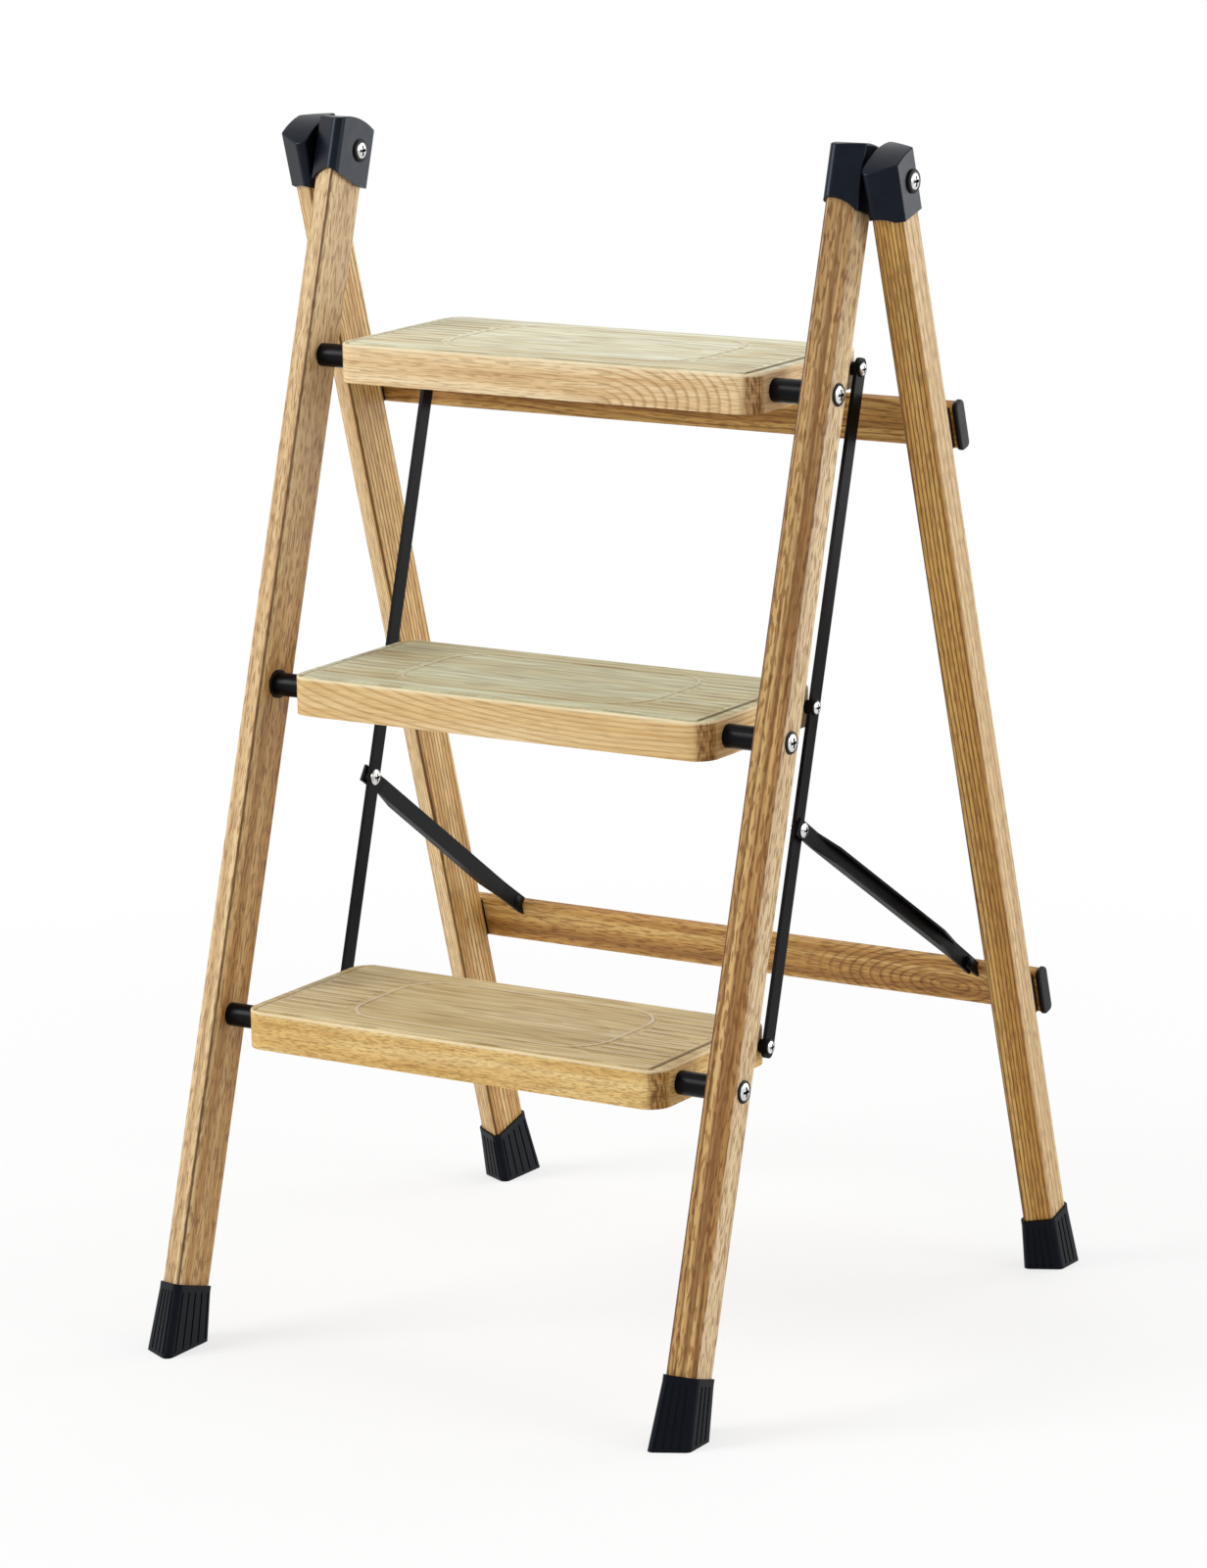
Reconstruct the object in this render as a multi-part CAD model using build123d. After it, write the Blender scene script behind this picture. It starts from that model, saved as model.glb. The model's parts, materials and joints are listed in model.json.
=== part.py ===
from build123d import *

import os
from math import asin, cos, radians, sin, sqrt, tan

# Folding three-step ladder of thin steel tube with a wood-grain skin.
# X runs across the ladder, Y from front to back and Z up; the floor is Z = 0.
# Millimetres and degrees throughout. Every piece is drawn on the right-hand side
# and mirrored in the YZ plane for the left.

# Layout
step_levels = ("bottom", "middle", "top")
step_rise = 230.0
first_tread_height = 246.8
stile_tilt = 16.6
leg_tilt = 15.6
leg_gap = 8.4

# Tube of the stiles and legs: a trapezium, deep on the side facing the middle of the ladder
tube_width = 20.2
tube_inner_depth = 41.4
tube_outer_depth = 21.8
tube_wall = 1.2
tube_corner = 2.6

# Top hinge
hinge_rise = 150.6
hinge_behind_stile = 7.5
hinge_behind_leg = 5.2
hinge_barrel_diameter = 8.0
hinge_screw_diameter = 5.0
hinge_head_diameter = 14.6
hinge_head_height = 3.0
hinge_play = 0.25
hinge_washer_diameter = 16.0

# Caps on the tube tops
cap_wall = 2.6
cap_corner = 2.4
cap_front_corner = 6.0
cap_above_hinge = 22.5
cap_crest_radius = 58.0
rear_cap_crest_setback = 9.0
front_cap_below_hinge = 25.2
rear_cap_below_hinge = 22.6
front_cap_scallop = 8.1
rear_cap_scallop = 4.0
cap_scallop_radius = 21.0
cap_scallop_inset = 6.6
cap_scallop_tilt = 11.0
cap_roof = 12.0
cap_edge_round = 1.6

# Ribbed boots on the tube feet
boot_length = 46.0
boot_band = 5.0
boot_rim = 2.5
boot_wall_top = 2.0
boot_wall_floor = 3.9
boot_sole = 5.0
boot_corner = 4.5
boot_groove_width = 1.5
boot_groove_depth = 1.0
boot_inner_groove_count = 5
boot_sloped_groove_count = 4
boot_outer_groove_count = 3

# Steps
step_width = 349.0
step_depth = 150.0
step_skirt = 28.0
step_side_gap = 29.9
step_corner = 16.0
step_edge_round = 1.8
step_sheet = 1.2
step_hem = 4.0
tread_panel_end_inset = 8.0
tread_panel_edge_inset = 3.0
tread_panel_rise = 0.8
pivot_setback = 28.8
pivot_drop = 14.0

# Step pivots
pivot_diameter = 6.0
pivot_head_diameter = 14.6
pivot_head_height = 2.8
spacer_diameter = 17.0
spacer_play = 0.2
washer_diameter = 20.6
washer_thickness = 2.0
nut_flats = 10.0
nut_height = 5.0
nut_gap = 1.4
pivot_tip = 1.0

# Control links
link_setback = 13.7
link_width = 12.0
link_thickness = 3.0
link_gap = 4.0
link_end = 8.0
link_corner = 5.0
link_boss_diameter = 10.0
link_boss_inside = 11.0
link_screw_inside = 10.0
link_screw_diameter = 5.0
link_head_diameter = 10.3
link_head_height = 2.6
link_play = 0.15

# Diagonal struts
strut_pivot_drop = 86.5
strut_height = 12.5
strut_sheet = 2.0
strut_flange = 4.5
strut_end = 8.0
strut_foot_end = 9.0
strut_notch_depth = 3.0
strut_notch_height = 6.0
strut_flat_top = 20.0
strut_flat_bottom = 24.0
strut_flange_taper = 26.0
strut_splay = 13.0
strut_washer = 1.6
strut_pin_diameter = 5.0
strut_pin_forward = 8.4
strut_pin_above_rail = 23.5
strut_head_diameter = 11.5
strut_head_height = 2.6
strut_nut_diameter = 10.4
strut_collar_diameter = 9.5
strut_pin_head_diameter = 8.4
strut_pin_head_height = 1.4

# Lugs that carry the struts, let into the lower rail
bracket_sheet = 2.5
bracket_half_width = 4.4

# Rear rails
rail_height = 34.0
rail_depth = 10.0
rail_wall = 1.2
rail_corner = 3.0
rail_end_inset = 3.2
rail_standoff = 2.5
upper_rail_drop = 192.4
lower_rail_drop = 646.3
plug_flange = 3.4
plug_margin = 1.2
plug_tongue = 6.0
plug_edge_round = 1.6
saddle_height = 30.0
rail_screw_diameter = 5.0
rail_screw_head = 11.0
rail_screw_head_height = 2.4
rail_screw_spacing = 18.0
rail_screw_bite = 9.0
rail_screw_inset = 8.0

# Proportions of the domed heads
head_rim_share = 0.25
recess_length_share = 0.5
recess_width_share = 0.12
recess_depth_share = 0.6

# Clearances
fit_clearance = 0.05
running_clearance = 0.08
cut_past = 1.0

# Derived layout
stile_rad = radians(stile_tilt)
leg_rad = radians(leg_tilt)
step_half = step_width / 2
stile_inner_x = step_half + step_side_gap
stile_outer_x = stile_inner_x + tube_width
leg_inner_x = stile_outer_x + leg_gap
leg_outer_x = leg_inner_x + tube_width
tube_slope = (tube_inner_depth - tube_outer_depth) / 2 / tube_width
pitch_along_stile = step_rise / cos(stile_rad)
bottom_pivot_z = first_tread_height - pivot_drop

# Heights and depths of the step pivots, with the bottom one at Y = 0 for now
pivots = {}
for index, level in enumerate(step_levels):
    rise = index * step_rise
    pivots[level] = Vector(0, rise * tan(stile_rad), bottom_pivot_z + rise)

# Frames along the stiles and the legs, both with their origin on the hinge axis
stile_up = Vector(0, sin(stile_rad), cos(stile_rad))
stile_back = Vector(0, cos(stile_rad), -sin(stile_rad))
leg_up = Vector(0, -sin(leg_rad), cos(leg_rad))
hinge = pivots[step_levels[-1]] + stile_up * hinge_rise + stile_back * hinge_behind_stile
across = Vector(1, 0, 0)
stile_frame = Plane(origin=hinge, x_dir=across, z_dir=stile_up)
leg_frame = Plane(origin=hinge, x_dir=across, z_dir=leg_up)
stile_axis_y = -hinge_behind_stile
leg_axis_y = -hinge_behind_leg
stile_floor = -(hinge.Z + hinge_behind_stile * sin(stile_rad)) / cos(stile_rad)
leg_floor = -(hinge.Z - hinge_behind_leg * sin(leg_rad)) / cos(leg_rad)
stile_tube_end = stile_floor + (boot_sole + tube_inner_depth / 2 * sin(stile_rad)) / cos(stile_rad)
leg_tube_end = leg_floor + (boot_sole + tube_inner_depth / 2 * sin(leg_rad)) / cos(leg_rad)
tube_top = cap_above_hinge - cap_roof

# Link, strut and rail places
link_reach = step_depth - pivot_setback - link_setback
link_inner_x = step_half + link_gap
link_outer_x = link_inner_x + link_thickness
link_pivots = {level: point + Vector(0, link_reach, 0) for level, point in pivots.items()}
link_frame = Plane(origin=link_pivots["middle"], x_dir=across, z_dir=stile_up)
rail_front_y = leg_axis_y + tube_inner_depth / 2 + rail_standoff
rail_end_x = leg_outer_x - rail_end_inset
strut_top = link_frame.from_local_coords(Vector(0, 0, -strut_pivot_drop))
strut_foot_z = -lower_rail_drop + strut_pin_above_rail
strut_foot_y = rail_front_y - strut_pin_forward
strut_foot = leg_frame.from_local_coords(Vector(0, strut_foot_y, strut_foot_z))
strut_length = (strut_foot - strut_top).length
strut_frame = Plane(origin=strut_top, x_dir=across, z_dir=strut_foot - strut_top)
strut_inner_x = link_outer_x + strut_washer + 2 * link_play
strut_foot_inner_x = strut_inner_x + strut_splay
bracket_inner_x = strut_foot_inner_x + strut_sheet + 2 * link_play
bracket_outer_x = bracket_inner_x + bracket_sheet


def tube_corners(inner_x, axis_y, grow):
    """Corners of the tube's trapezium, grown outwards by a wall, from the inner front one round."""
    lean = grow * sqrt(1 + tube_slope**2)
    half_inner = tube_inner_depth / 2 + grow * tube_slope + lean
    half_outer = tube_outer_depth / 2 - grow * tube_slope + lean
    near = inner_x - grow
    far = inner_x + tube_width + grow
    return [
        Vector(near, axis_y - half_inner),
        Vector(far, axis_y - half_outer),
        Vector(far, axis_y + half_outer),
        Vector(near, axis_y + half_inner),
    ]


def section(inner_x, axis_y, grow, corner):
    """Trapezium of the tube, grown outwards by a wall and with rounded corners."""
    face = make_face(Polyline(*tube_corners(inner_x, axis_y, grow), close=True))
    return fillet(face.vertices(), corner)


def cap_section(inner_x, axis_y):
    """Outline of a cap, rounder at the arris that faces the front of the ladder."""
    face = make_face(Polyline(*tube_corners(inner_x, axis_y, cap_wall), close=True))
    face = fillet(face.vertices().sort_by(Axis.Y)[1:], cap_corner)
    return fillet(face.vertices().sort_by(Axis.Y)[0], cap_front_corner)


def prism(face, low, high):
    """Straight bar of a section between two heights."""
    return extrude(Pos(0, 0, low) * face, high - low)


def rod_x(diameter, start_x, end_x, point):
    """Round bar along X through a point."""
    bar = Cylinder(diameter / 2, end_x - start_x, align=(Align.CENTER, Align.CENTER, Align.MIN))
    return Pos(start_x, point.Y, point.Z) * Rot(0, 90, 0) * bar


def dome_head(diameter, height):
    """Low domed head, flat on Z = 0."""
    rim = height * head_rim_share
    radius = diameter / 2
    dome_radius = (radius**2 + (height - rim) ** 2) / (2 * (height - rim))
    half_angle = asin(radius / dome_radius) / 2
    arc_mid = (dome_radius * sin(half_angle), height - dome_radius * (1 - cos(half_angle)))
    outline = Polyline((0, height), (0, 0), (radius, 0), (radius, rim)) + ThreePointArc(
        (radius, rim), arc_mid, (0, height)
    )
    return revolve(Plane.XZ * make_face(outline), Axis.Z)


def screw_head(diameter, height):
    """Domed head with a cross recess."""
    head = dome_head(diameter, height)
    slot_length = diameter * recess_length_share
    slot_width = diameter * recess_width_share
    slot_depth = height * recess_depth_share
    for turn in (0, 90):
        slot = Box(slot_length, slot_width, 2 * slot_depth)
        head -= Pos(0, 0, height) * Rot(0, 0, turn) * slot
    return head


def head_out(diameter, height, x, point):
    """Screw head whose dome points away from the middle of the ladder."""
    return Pos(x, point.Y, point.Z) * Rot(0, 90, 0) * screw_head(diameter, height)


def head_in(diameter, height, x, point):
    """Screw head whose dome points to the middle of the ladder."""
    return Pos(x, point.Y, point.Z) * Rot(0, -90, 0) * screw_head(diameter, height)


def tube(inner_x, axis_y, low, high):
    """Thin-walled tube in its own frame."""
    outer = prism(section(inner_x, axis_y, 0, tube_corner), low, high)
    bore = prism(section(inner_x, axis_y, -tube_wall, tube_corner - tube_wall), low, high)
    return outer - bore


def grooves(inner_x, axis_y, grow):
    """Cross-sections of the grooves round a boot whose wall has grown to a thickness."""
    corners = tube_corners(inner_x, axis_y, grow)
    sloped = boot_sloped_groove_count
    counts = (sloped, boot_outer_groove_count, sloped, boot_inner_groove_count)
    faces = []
    for index, count in enumerate(counts):
        start = corners[index]
        run = corners[(index + 1) % len(corners)] - start
        along = run.normalized()
        inward = Vector(-along.Y, along.X)
        half = along * (boot_groove_width / 2)
        pitch = (run.length - 2 * boot_corner) / count
        for groove in range(count):
            middle = start + along * (boot_corner + (groove + 0.5) * pitch)
            top = middle - inward * cut_past
            floor = middle + inward * boot_groove_depth
            faces.append(make_face(Polyline(top - half, floor - half, floor + half, top + half, close=True)))
    return faces


def boot(inner_x, axis_y, floor, tube_end, frame):
    """Ribbed boot: a flared skirt of ribs between a plain band and a rim, cut level with the floor."""
    band_low = floor + boot_length - boot_band
    low = floor - tube_inner_depth / 2
    flare = (boot_wall_floor - boot_wall_top) / (boot_length - boot_band)
    wide = boot_wall_floor + flare * (floor - low)
    wide_face = Pos(0, 0, low) * section(inner_x, axis_y, wide, boot_corner)
    narrow_face = Pos(0, 0, band_low) * section(inner_x, axis_y, boot_wall_top, boot_corner)
    skirt = loft([wide_face, narrow_face], ruled=True)
    wide_grooves = grooves(inner_x, axis_y, wide)
    narrow_grooves = grooves(inner_x, axis_y, boot_wall_top)
    cuts = []
    for wide_groove, narrow_groove in zip(wide_grooves, narrow_grooves):
        cuts.append(loft([Pos(0, 0, low) * wide_groove, Pos(0, 0, band_low) * narrow_groove], ruled=True))
    band = prism(section(inner_x, axis_y, boot_wall_top, boot_corner), band_low, band_low + boot_band)
    socket = prism(section(inner_x, axis_y, fit_clearance, tube_corner), tube_end, band_low + boot_band)
    reach = 4 * tube_inner_depth
    foot_point = frame.from_local_coords(Vector(inner_x + tube_width / 2, axis_y, floor))
    slab = Box(reach, reach, reach, align=(Align.CENTER, Align.CENTER, Align.MAX))
    below_rim = Pos(foot_point.X, foot_point.Y, boot_rim) * slab
    below_floor = Pos(foot_point.X, foot_point.Y, 0) * slab
    ribs = frame.location * (skirt - cuts + band)
    rim = (frame.location * skirt) & below_rim
    return ribs + rim - frame.location * socket - below_floor


def cap(inner_x, axis_y, crest_setback, below_hinge, scallop, bolt_diameter, frame):
    """Cap over a tube's top: an arched roof, and a lower edge scalloped at the front."""
    start_x = inner_x - 2 * cap_wall
    length = tube_width + 4 * cap_wall
    body = prism(cap_section(inner_x, axis_y), -below_hinge, cap_above_hinge)
    crest = Vector(0, axis_y + crest_setback, cap_above_hinge - cap_crest_radius)
    body = body & rod_x(2 * cap_crest_radius, start_x, start_x + length, crest)
    roof = body.faces().sort_by(Axis.Z)[-1]
    body = fillet(roof.edges(), cap_edge_round)
    scallop_cut = Cylinder(cap_scallop_radius, 4 * tube_inner_depth, rotation=(90, 0, 0))
    crown = Pos(inner_x + cap_scallop_inset, axis_y - tube_inner_depth / 2 - cap_wall, scallop - below_hinge)
    body -= crown * Rot(-cap_scallop_tilt, 0, 0) * Pos(0, 0, -cap_scallop_radius) * scallop_cut
    body -= prism(section(inner_x, axis_y, fit_clearance, tube_corner), -below_hinge, tube_top)
    body -= rod_x(bolt_diameter, start_x, start_x + length, Vector(0, 0, 0))
    return frame.location * body


def stile():
    """Front stile with holes for the hinge barrel and the step pivots."""
    body = stile_frame.location * tube(stile_inner_x, stile_axis_y, stile_tube_end, tube_top)
    past = 2 * tube_wall
    body -= rod_x(hinge_barrel_diameter, stile_inner_x - past, stile_outer_x + past, hinge)
    for point in pivots.values():
        body -= rod_x(pivot_diameter, stile_inner_x - past, stile_outer_x + past, point)
    return body


def leg():
    """Rear leg with holes for the hinge barrel and the rail screws."""
    body = tube(leg_inner_x, leg_axis_y, leg_tube_end, tube_top)
    past = 2 * tube_wall
    bore = hinge_barrel_diameter + 2 * running_clearance
    body -= rod_x(bore, leg_inner_x - past, leg_outer_x + past, Vector(0, 0, 0))
    for drop in (upper_rail_drop, lower_rail_drop):
        for shank in rail_screw_shanks(drop):
            body -= shank
    return leg_frame.location * body


def rail_screw_shanks(drop):
    """Shanks of the two screws that hold one rail to one leg, in the leg's frame."""
    shanks = []
    start_y = rail_front_y - rail_screw_bite
    length = rail_screw_bite + rail_depth
    for side in (-1, 1):
        bar = Cylinder(rail_screw_diameter / 2, length, align=(Align.CENTER, Align.CENTER, Align.MIN))
        height = -drop + side * rail_screw_spacing / 2
        shanks.append(Pos(leg_inner_x + rail_screw_inset, start_y, height) * Rot(-90, 0, 0) * bar)
    return shanks


def rail_screws(drop):
    """Screws from behind the rail into the leg."""
    screws = []
    for shank in rail_screw_shanks(drop):
        head = Rot(-90, 0, 0) * screw_head(rail_screw_head, rail_screw_head_height)
        height = shank.center().Z
        screws.append(shank + Pos(leg_inner_x + rail_screw_inset, rail_front_y + rail_depth, height) * head)
    return [leg_frame.location * screw for screw in screws]


def rail(drop):
    """Flat tube across the backs of the legs."""
    middle = Pos(0, rail_front_y + rail_depth / 2, -drop)
    outer = fillet(Rectangle(rail_depth, rail_height).vertices(), rail_corner)
    bore_face = Rectangle(rail_depth - 2 * rail_wall, rail_height - 2 * rail_wall)
    bore = fillet(bore_face.vertices(), rail_corner - rail_wall)
    body = extrude(Plane.YZ * (outer - bore), rail_end_x, both=True)
    body = middle * body
    holes = rail_screw_shanks(drop)
    if drop == lower_rail_drop:
        holes.append(bracket_plate())
    for hole in holes:
        body -= hole
        body -= mirror(hole, about=Plane.YZ)
    return leg_frame.location * body


def rail_plug(drop):
    """Plug in a rail's end: a tongue inside the tube and a rounded flange over its edge."""
    tongue_height = rail_height - 2 * rail_wall - 2 * fit_clearance
    tongue_depth = rail_depth - 2 * rail_wall - 2 * fit_clearance
    tongue_face = fillet(Rectangle(tongue_depth, tongue_height).vertices(), rail_corner - rail_wall)
    flange_face = Rectangle(rail_depth + 2 * plug_margin, rail_height + 2 * plug_margin)
    flange_face = fillet(flange_face.vertices(), rail_corner + plug_margin)
    flange = extrude(Plane.YZ * flange_face, plug_flange)
    flange = fillet(flange.faces().sort_by(Axis.X)[-1].edges(), plug_edge_round)
    tongue = extrude(Plane.YZ.offset(-plug_tongue) * tongue_face, plug_tongue)
    middle = Pos(rail_end_x, rail_front_y + rail_depth / 2, -drop)
    return leg_frame.location * (middle * (flange + tongue))


def rail_saddle(drop):
    """Wedge between the leg's sloping back and the flat rail."""
    start = leg_inner_x + tube_corner
    end = rail_end_x - tube_corner
    back = leg_axis_y + tube_inner_depth / 2 + fit_clearance
    outline = Polyline(
        (start, back - (start - leg_inner_x) * tube_slope),
        (end, back - (end - leg_inner_x) * tube_slope),
        (end, rail_front_y),
        (start, rail_front_y),
        close=True,
    )
    body = prism(make_face(outline), -drop - saddle_height / 2, -drop + saddle_height / 2)
    for shank in rail_screw_shanks(drop):
        body -= shank
    return leg_frame.location * body


def hinge_barrel():
    """Sleeve bolt from the outer cap: head outside, bored for the screw that meets it."""
    outer_x = leg_outer_x + cap_wall
    inner_x = stile_inner_x - cap_wall
    body = rod_x(hinge_barrel_diameter, inner_x + hinge_play, outer_x + hinge_play, hinge)
    body += head_out(hinge_head_diameter, hinge_head_height, outer_x + hinge_play, hinge)
    return body - rod_x(hinge_screw_diameter, inner_x, outer_x - hinge_head_height, hinge)


def hinge_screw():
    """Screw from the inner cap into the sleeve bolt."""
    inner_x = stile_inner_x - cap_wall
    body = rod_x(hinge_screw_diameter, inner_x, leg_inner_x + tube_width / 2, hinge)
    return body + head_in(hinge_head_diameter, hinge_head_height, inner_x, hinge)


def hinge_washer():
    """Plain plastic washer that keeps the two caps apart."""
    start = stile_outer_x + cap_wall
    end = leg_inner_x - cap_wall - hinge_play
    disc = rod_x(hinge_washer_diameter, start, end, hinge)
    return disc - rod_x(hinge_barrel_diameter, start, end, hinge)


def step_pan(level):
    """Pressed sheet step: crowned edge, deep skirt, turned hem and a raised tread panel."""
    plan = fillet(Rectangle(step_width, step_depth).vertices(), step_corner)
    inner_plan = Rectangle(step_width - 2 * step_sheet, step_depth - 2 * step_sheet)
    inner_plan = fillet(inner_plan.vertices(), step_corner - step_sheet)
    hem_plan = Rectangle(step_width - 2 * step_hem, step_depth - 2 * step_hem)
    hem_plan = fillet(hem_plan.vertices(), step_corner - step_hem)
    panel_plan = Rectangle(step_width - 2 * tread_panel_end_inset, step_depth - 2 * tread_panel_edge_inset)
    panel_plan = fillet(panel_plan.vertices(), step_corner - tread_panel_end_inset)
    block = prism(plan, -step_skirt, 0)
    block = fillet(block.faces().sort_by(Axis.Z)[-1].edges(), step_edge_round)
    hollow = prism(inner_plan, -step_skirt + step_sheet, -step_sheet)
    hollow = fillet(hollow.faces().sort_by(Axis.Z)[-1].edges(), step_edge_round - step_sheet)
    mouth = prism(hem_plan, -step_skirt, -step_skirt + step_sheet)
    panel = prism(panel_plan, 0, tread_panel_rise)
    panel = fillet(panel.faces().sort_by(Axis.Z)[-1].edges(), tread_panel_rise / 2)
    body = block - hollow - mouth + panel
    point = pivots[level]
    body = Pos(0, point.Y - pivot_setback + step_depth / 2, point.Z + pivot_drop) * body
    reach = step_half + cut_past
    body -= rod_x(pivot_diameter + 2 * running_clearance, -reach, reach, point)
    return body - rod_x(link_boss_diameter, -reach, reach, link_pivots[level])


def pivot_screw(level):
    """Long screw from the outside of the stile to the inside of the step."""
    point = pivots[level]
    tip = step_half - step_sheet - nut_gap - nut_height - pivot_tip
    body = rod_x(pivot_diameter, tip, stile_outer_x, point)
    return body + head_out(pivot_head_diameter, pivot_head_height, stile_outer_x, point)


def pivot_spacer(level):
    """Sleeve that keeps the step clear of the stile."""
    point = pivots[level]
    start = step_half + spacer_play
    end = stile_inner_x
    if level == "middle":
        end -= washer_thickness
    return rod_x(spacer_diameter, start, end, point) - rod_x(pivot_diameter, start, end, point)


def pivot_washer(level):
    """Wider washer between a sleeve and the stile."""
    point = pivots[level]
    start = stile_inner_x - washer_thickness
    disc = rod_x(washer_diameter, start, stile_inner_x, point)
    return disc - rod_x(pivot_diameter, start, stile_inner_x, point)


def pivot_nut(level):
    """Hexagon nut on the screw inside the step's skirt."""
    point = pivots[level]
    end = step_half - step_sheet - nut_gap
    hexagon = RegularPolygon(nut_flats / 2, 6, major_radius=False) - Circle(pivot_diameter / 2)
    nut = extrude(hexagon, nut_height)
    return Pos(end - nut_height, point.Y, point.Z) * Rot(0, 90, 0) * nut


def link_boss(level):
    """Round boss through the step's skirt that the control link turns on."""
    point = link_pivots[level]
    start = step_half - link_boss_inside
    end = link_inner_x - link_play
    return rod_x(link_boss_diameter, start, end, point) - rod_x(link_screw_diameter, start, end, point)


def link_screw(level):
    """Screw that holds the link on its boss."""
    point = link_pivots[level]
    seat = link_outer_x + link_play
    shank = rod_x(link_screw_diameter, step_half - link_screw_inside, seat, point)
    return shank + head_out(link_head_diameter, link_head_height, seat, point)


def control_link():
    """Flat strap that ties the three steps together."""
    length = 2 * pitch_along_stile + 2 * link_end
    strap = fillet(Rectangle(link_width, length).vertices(), link_corner)
    body = extrude(Plane.YZ.offset(link_inner_x) * strap, link_thickness)
    body = link_frame.location * body
    bore = link_screw_diameter + 2 * running_clearance
    for point in link_pivots.values():
        body -= rod_x(bore, link_inner_x - cut_past, link_outer_x + cut_past, point)
    return body - rod_x(strut_pin_diameter, link_inner_x - cut_past, link_outer_x + cut_past, strut_top)


def strut_screw():
    """Screw through the link where the strut meets it, with its collar."""
    end = strut_inner_x - link_play
    body = rod_x(strut_pin_diameter, link_inner_x, end, strut_top)
    body += rod_x(strut_collar_diameter, link_outer_x, end, strut_top)
    return body + head_in(strut_head_diameter, strut_head_height, link_inner_x, strut_top)


def strut_nut():
    """Domed nut on the outside of the strut, with its neck in the strut's hole."""
    face_x = strut_inner_x + strut_sheet
    neck = rod_x(strut_pin_diameter, strut_inner_x, face_x, strut_top)
    return neck + head_out(strut_nut_diameter, strut_head_height, face_x, strut_top)


def strut():
    """Pressed strap with flat ends, splayed outwards and stiffened by two flanges."""
    top = -strut_end
    bend_low = strut_flat_top
    bend_high = strut_length - strut_flat_bottom
    foot = strut_length + strut_foot_end
    inner, outer = strut_inner_x, strut_inner_x + strut_sheet
    web_line = Polyline(
        (inner, top),
        (inner, bend_low),
        (inner + strut_splay, bend_high),
        (inner + strut_splay, foot),
        (outer + strut_splay, foot),
        (outer + strut_splay, bend_high),
        (outer, bend_low),
        (outer, top),
        close=True,
    )
    web = extrude(Plane.XZ * make_face(web_line), strut_height / 2, both=True)
    slope = strut_splay / (bend_high - bend_low)
    flange_line = Polyline(
        (outer, bend_low),
        (outer + strut_splay, bend_high),
        (outer + strut_splay - slope * strut_flange_taper + strut_flange, bend_high - strut_flange_taper),
        (outer + slope * strut_flange_taper + strut_flange, bend_low + strut_flange_taper),
        close=True,
    )
    flange = extrude(Plane.XZ * make_face(flange_line), strut_sheet / 2, both=True)
    edge = (strut_height - strut_sheet) / 2
    body = web + Pos(0, edge, 0) * flange + Pos(0, -edge, 0) * flange
    notch_line = Polyline(
        (-strut_notch_height / 2, foot),
        (0, foot - strut_notch_depth),
        (strut_notch_height / 2, foot),
        close=True,
    )
    body -= extrude(Plane.YZ.offset(inner) * make_face(notch_line), strut_splay + strut_sheet)
    body = strut_frame.location * body
    body -= rod_x(strut_pin_diameter, inner - cut_past, outer + cut_past, strut_top)
    foot_bore = strut_pin_diameter + 2 * running_clearance
    foot_x = strut_foot_inner_x
    return body - rod_x(foot_bore, foot_x - cut_past, foot_x + strut_sheet + cut_past, strut_foot)


def bracket_plate():
    """Lug in the leg's frame: a round nose at the strut's pin and a strip let into the lower rail."""
    pin = Vector(strut_foot_y, strut_foot_z)
    top = leg_frame.to_local_coords(strut_top)
    along = (pin - Vector(top.Y, top.Z)).normalized()
    side = Vector(-along.Y, along.X) * bracket_half_width
    end_y = rail_front_y + rail_depth - rail_wall
    near = pin + side
    far = pin - side
    near_end = near + along * ((end_y - near.X) / along.X)
    far_end = far + along * ((end_y - far.X) / along.X)
    face = make_face(Polyline(near, near_end, far_end, far, close=True))
    face += Pos(pin.X, pin.Y) * Circle(bracket_half_width)
    return extrude(Plane.YZ.offset(bracket_inner_x) * face, bracket_sheet)


def strut_bracket():
    """Lug on the lower rail that carries a strut's foot, bored for the pin."""
    pin = Vector(0, strut_foot_y, strut_foot_z)
    bore = rod_x(strut_pin_diameter, bracket_inner_x - cut_past, bracket_outer_x + cut_past, pin)
    return leg_frame.location * (bracket_plate() - bore)


def strut_pin():
    """Pin through the strut's foot and the lug, with a low domed head at both ends."""
    inner = strut_foot_inner_x - link_play
    body = rod_x(strut_pin_diameter, inner, bracket_outer_x, strut_foot)
    head = dome_head(strut_pin_head_diameter, strut_pin_head_height)
    body += Pos(bracket_outer_x, strut_foot.Y, strut_foot.Z) * Rot(0, 90, 0) * head
    return body + Pos(inner, strut_foot.Y, strut_foot.Z) * Rot(0, -90, 0) * head


# Every node as a list of solids
nodes = {}


def add_sides(name, solid):
    """One node for each side of the ladder."""
    nodes[name + "_right"] = [solid]
    nodes[name + "_left"] = [mirror(solid, about=Plane.YZ)]


def add_pair(name, solids):
    """One node that holds the pieces of both sides."""
    nodes[name] = solids + [mirror(solid, about=Plane.YZ) for solid in solids]


front_cap = cap(
    stile_inner_x,
    stile_axis_y,
    crest_setback=0,
    below_hinge=front_cap_below_hinge,
    scallop=front_cap_scallop,
    bolt_diameter=hinge_barrel_diameter,
    frame=stile_frame,
)
rear_cap = cap(
    leg_inner_x,
    leg_axis_y,
    crest_setback=rear_cap_crest_setback,
    below_hinge=rear_cap_below_hinge,
    scallop=rear_cap_scallop,
    bolt_diameter=hinge_barrel_diameter + 2 * running_clearance,
    frame=leg_frame,
)

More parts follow.
